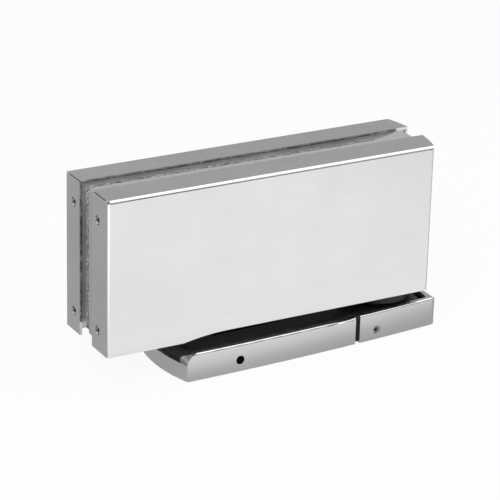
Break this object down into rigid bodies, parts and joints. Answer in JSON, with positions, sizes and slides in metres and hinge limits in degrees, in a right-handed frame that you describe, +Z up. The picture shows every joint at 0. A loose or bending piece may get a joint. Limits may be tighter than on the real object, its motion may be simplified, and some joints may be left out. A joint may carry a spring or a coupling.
{
  "type": "glass door patch hinge",
  "caption": "Hydraulic bottom patch hinge for a frameless glass door: folded stainless covers over a cast closer body, turning on a low floor plate.",
  "frame": {"origin": "on the pivot axis, at finished floor level under the floor plate", "axes": "+Z up along the pivot axis, +X towards the pivot end along the door, -Y towards the front cover"},
  "size_m": [0.1732, 0.0496, 0.0906],
  "materials": {
    "stainless": "polished folded stainless sheet",
    "cast_aluminium": "machined die casting",
    "black_finish": "satin black coating on steel",
    "hard_steel": "ground hardened steel",
    "black_screws": "black oxide",
    "bright_screws": "plain stainless",
    "gasket_fibre": "grey fibre sheet with pale flecks",
    "seal_rubber": "smooth nitrile",
    "bearing_bronze": "turned bronze",
    "valve_brass": "turned brass",
    "white_plastic": "white filled plastic"
  },
  "bodies": {
    "floor_unit": {"floor_plate": "black_finish", "long_rail": "stainless", "short_rail": "stainless", "lock_screws": "bright_screws"},
    "alignment_pair": {"alignment_screws": "black_screws"},
    "shoe": {"pivot_shoe": "hard_steel", "cam_spindle": "hard_steel"},
    "door_unit": {"closer_body": "cast_aluminium", "front_cover": "stainless", "front_cover_screws": "bright_screws", "front_gasket": "gasket_fibre", "gland_cap": "black_finish", "gland_seal": "seal_rubber", "lower_bearing": "bearing_bronze", "shaft_seal": "seal_rubber", "upper_bearing": "bearing_bronze", "thrust_ball": "hard_steel", "thrust_disc": "hard_steel", "cylinder_plug": "hard_steel", "plug_seal": "seal_rubber", "outer_spring": "hard_steel", "inner_spring": "hard_steel", "oil_plug": "valve_brass", "valve_seals": "seal_rubber"},
    "glass_clamp": {"clamp_frame": "cast_aluminium", "rear_cover": "stainless", "rear_cover_screws": "bright_screws", "rear_gasket": "gasket_fibre", "clamp_screws": "black_screws"},
    "piston_unit": {"piston": "hard_steel", "piston_ring": "white_plastic", "roller_pin": "hard_steel", "check_plug": "hard_steel"},
    "roller": {"cam_roller": "hard_steel"},
    "one_way_ball": {"check_ball": "hard_steel"},
    "sweep_adjuster": {"sweep_valve": "valve_brass"},
    "latch_adjuster": {"latch_valve": "valve_brass"}
  },
  "joints": [
    {"name": "shoe_adjust", "type": "hinge", "parent": "floor_unit", "child": "shoe", "pos_m": [0, 0, 0.008], "axis": [0, 0, 1], "range_deg": [-2, 2]},
    {"name": "alignment_slide", "type": "slide", "parent": "floor_unit", "child": "alignment_pair", "axis": [0, 1, 0], "range_m": [-0.0035, 0.0035]},
    {"name": "door_swing", "type": "hinge", "parent": "shoe", "child": "door_unit", "pos_m": [0, 0, 0.0425], "axis": [0, 0, 1], "range_deg": [0, 90], "stiffness_Nm_per_rad": 3, "springref_deg": -6.88},
    {"name": "piston_slide", "type": "slide", "parent": "door_unit", "child": "piston_unit", "axis": [-1, 0, 0], "range_m": [0, 0.0072], "deforming": ["outer_spring", "inner_spring"]},
    {"name": "roller_spin", "type": "hinge", "parent": "piston_unit", "child": "roller", "pos_m": [-0.0115, 0, 0.0425], "axis": [0, 0, 1], "continuous": true},
    {"name": "check_ball_slide", "type": "slide", "parent": "piston_unit", "child": "one_way_ball", "axis": [-1, 0, 0], "range_m": [0, 0.001]},
    {"name": "clamp_slide", "type": "slide", "parent": "door_unit", "child": "glass_clamp", "axis": [0, 1, 0], "range_m": [0, 0.012]},
    {"name": "sweep_valve_turn", "type": "hinge", "parent": "door_unit", "child": "sweep_adjuster", "pos_m": [-0.07, -0.018, 0.0251], "axis": [0, 1, 0], "range_deg": [0, 360]},
    {"name": "latch_valve_turn", "type": "hinge", "parent": "door_unit", "child": "latch_adjuster", "pos_m": [-0.054, -0.018, 0.0251], "axis": [0, 1, 0], "range_deg": [0, 360]}
  ],
  "couplings": [
    {"joint": "piston_slide", "follows": "door_swing", "m_per_rad": 0.0038197},
    {"joint": "alignment_slide", "follows": "shoe_adjust", "m_per_rad": -0.0846}
  ]
}
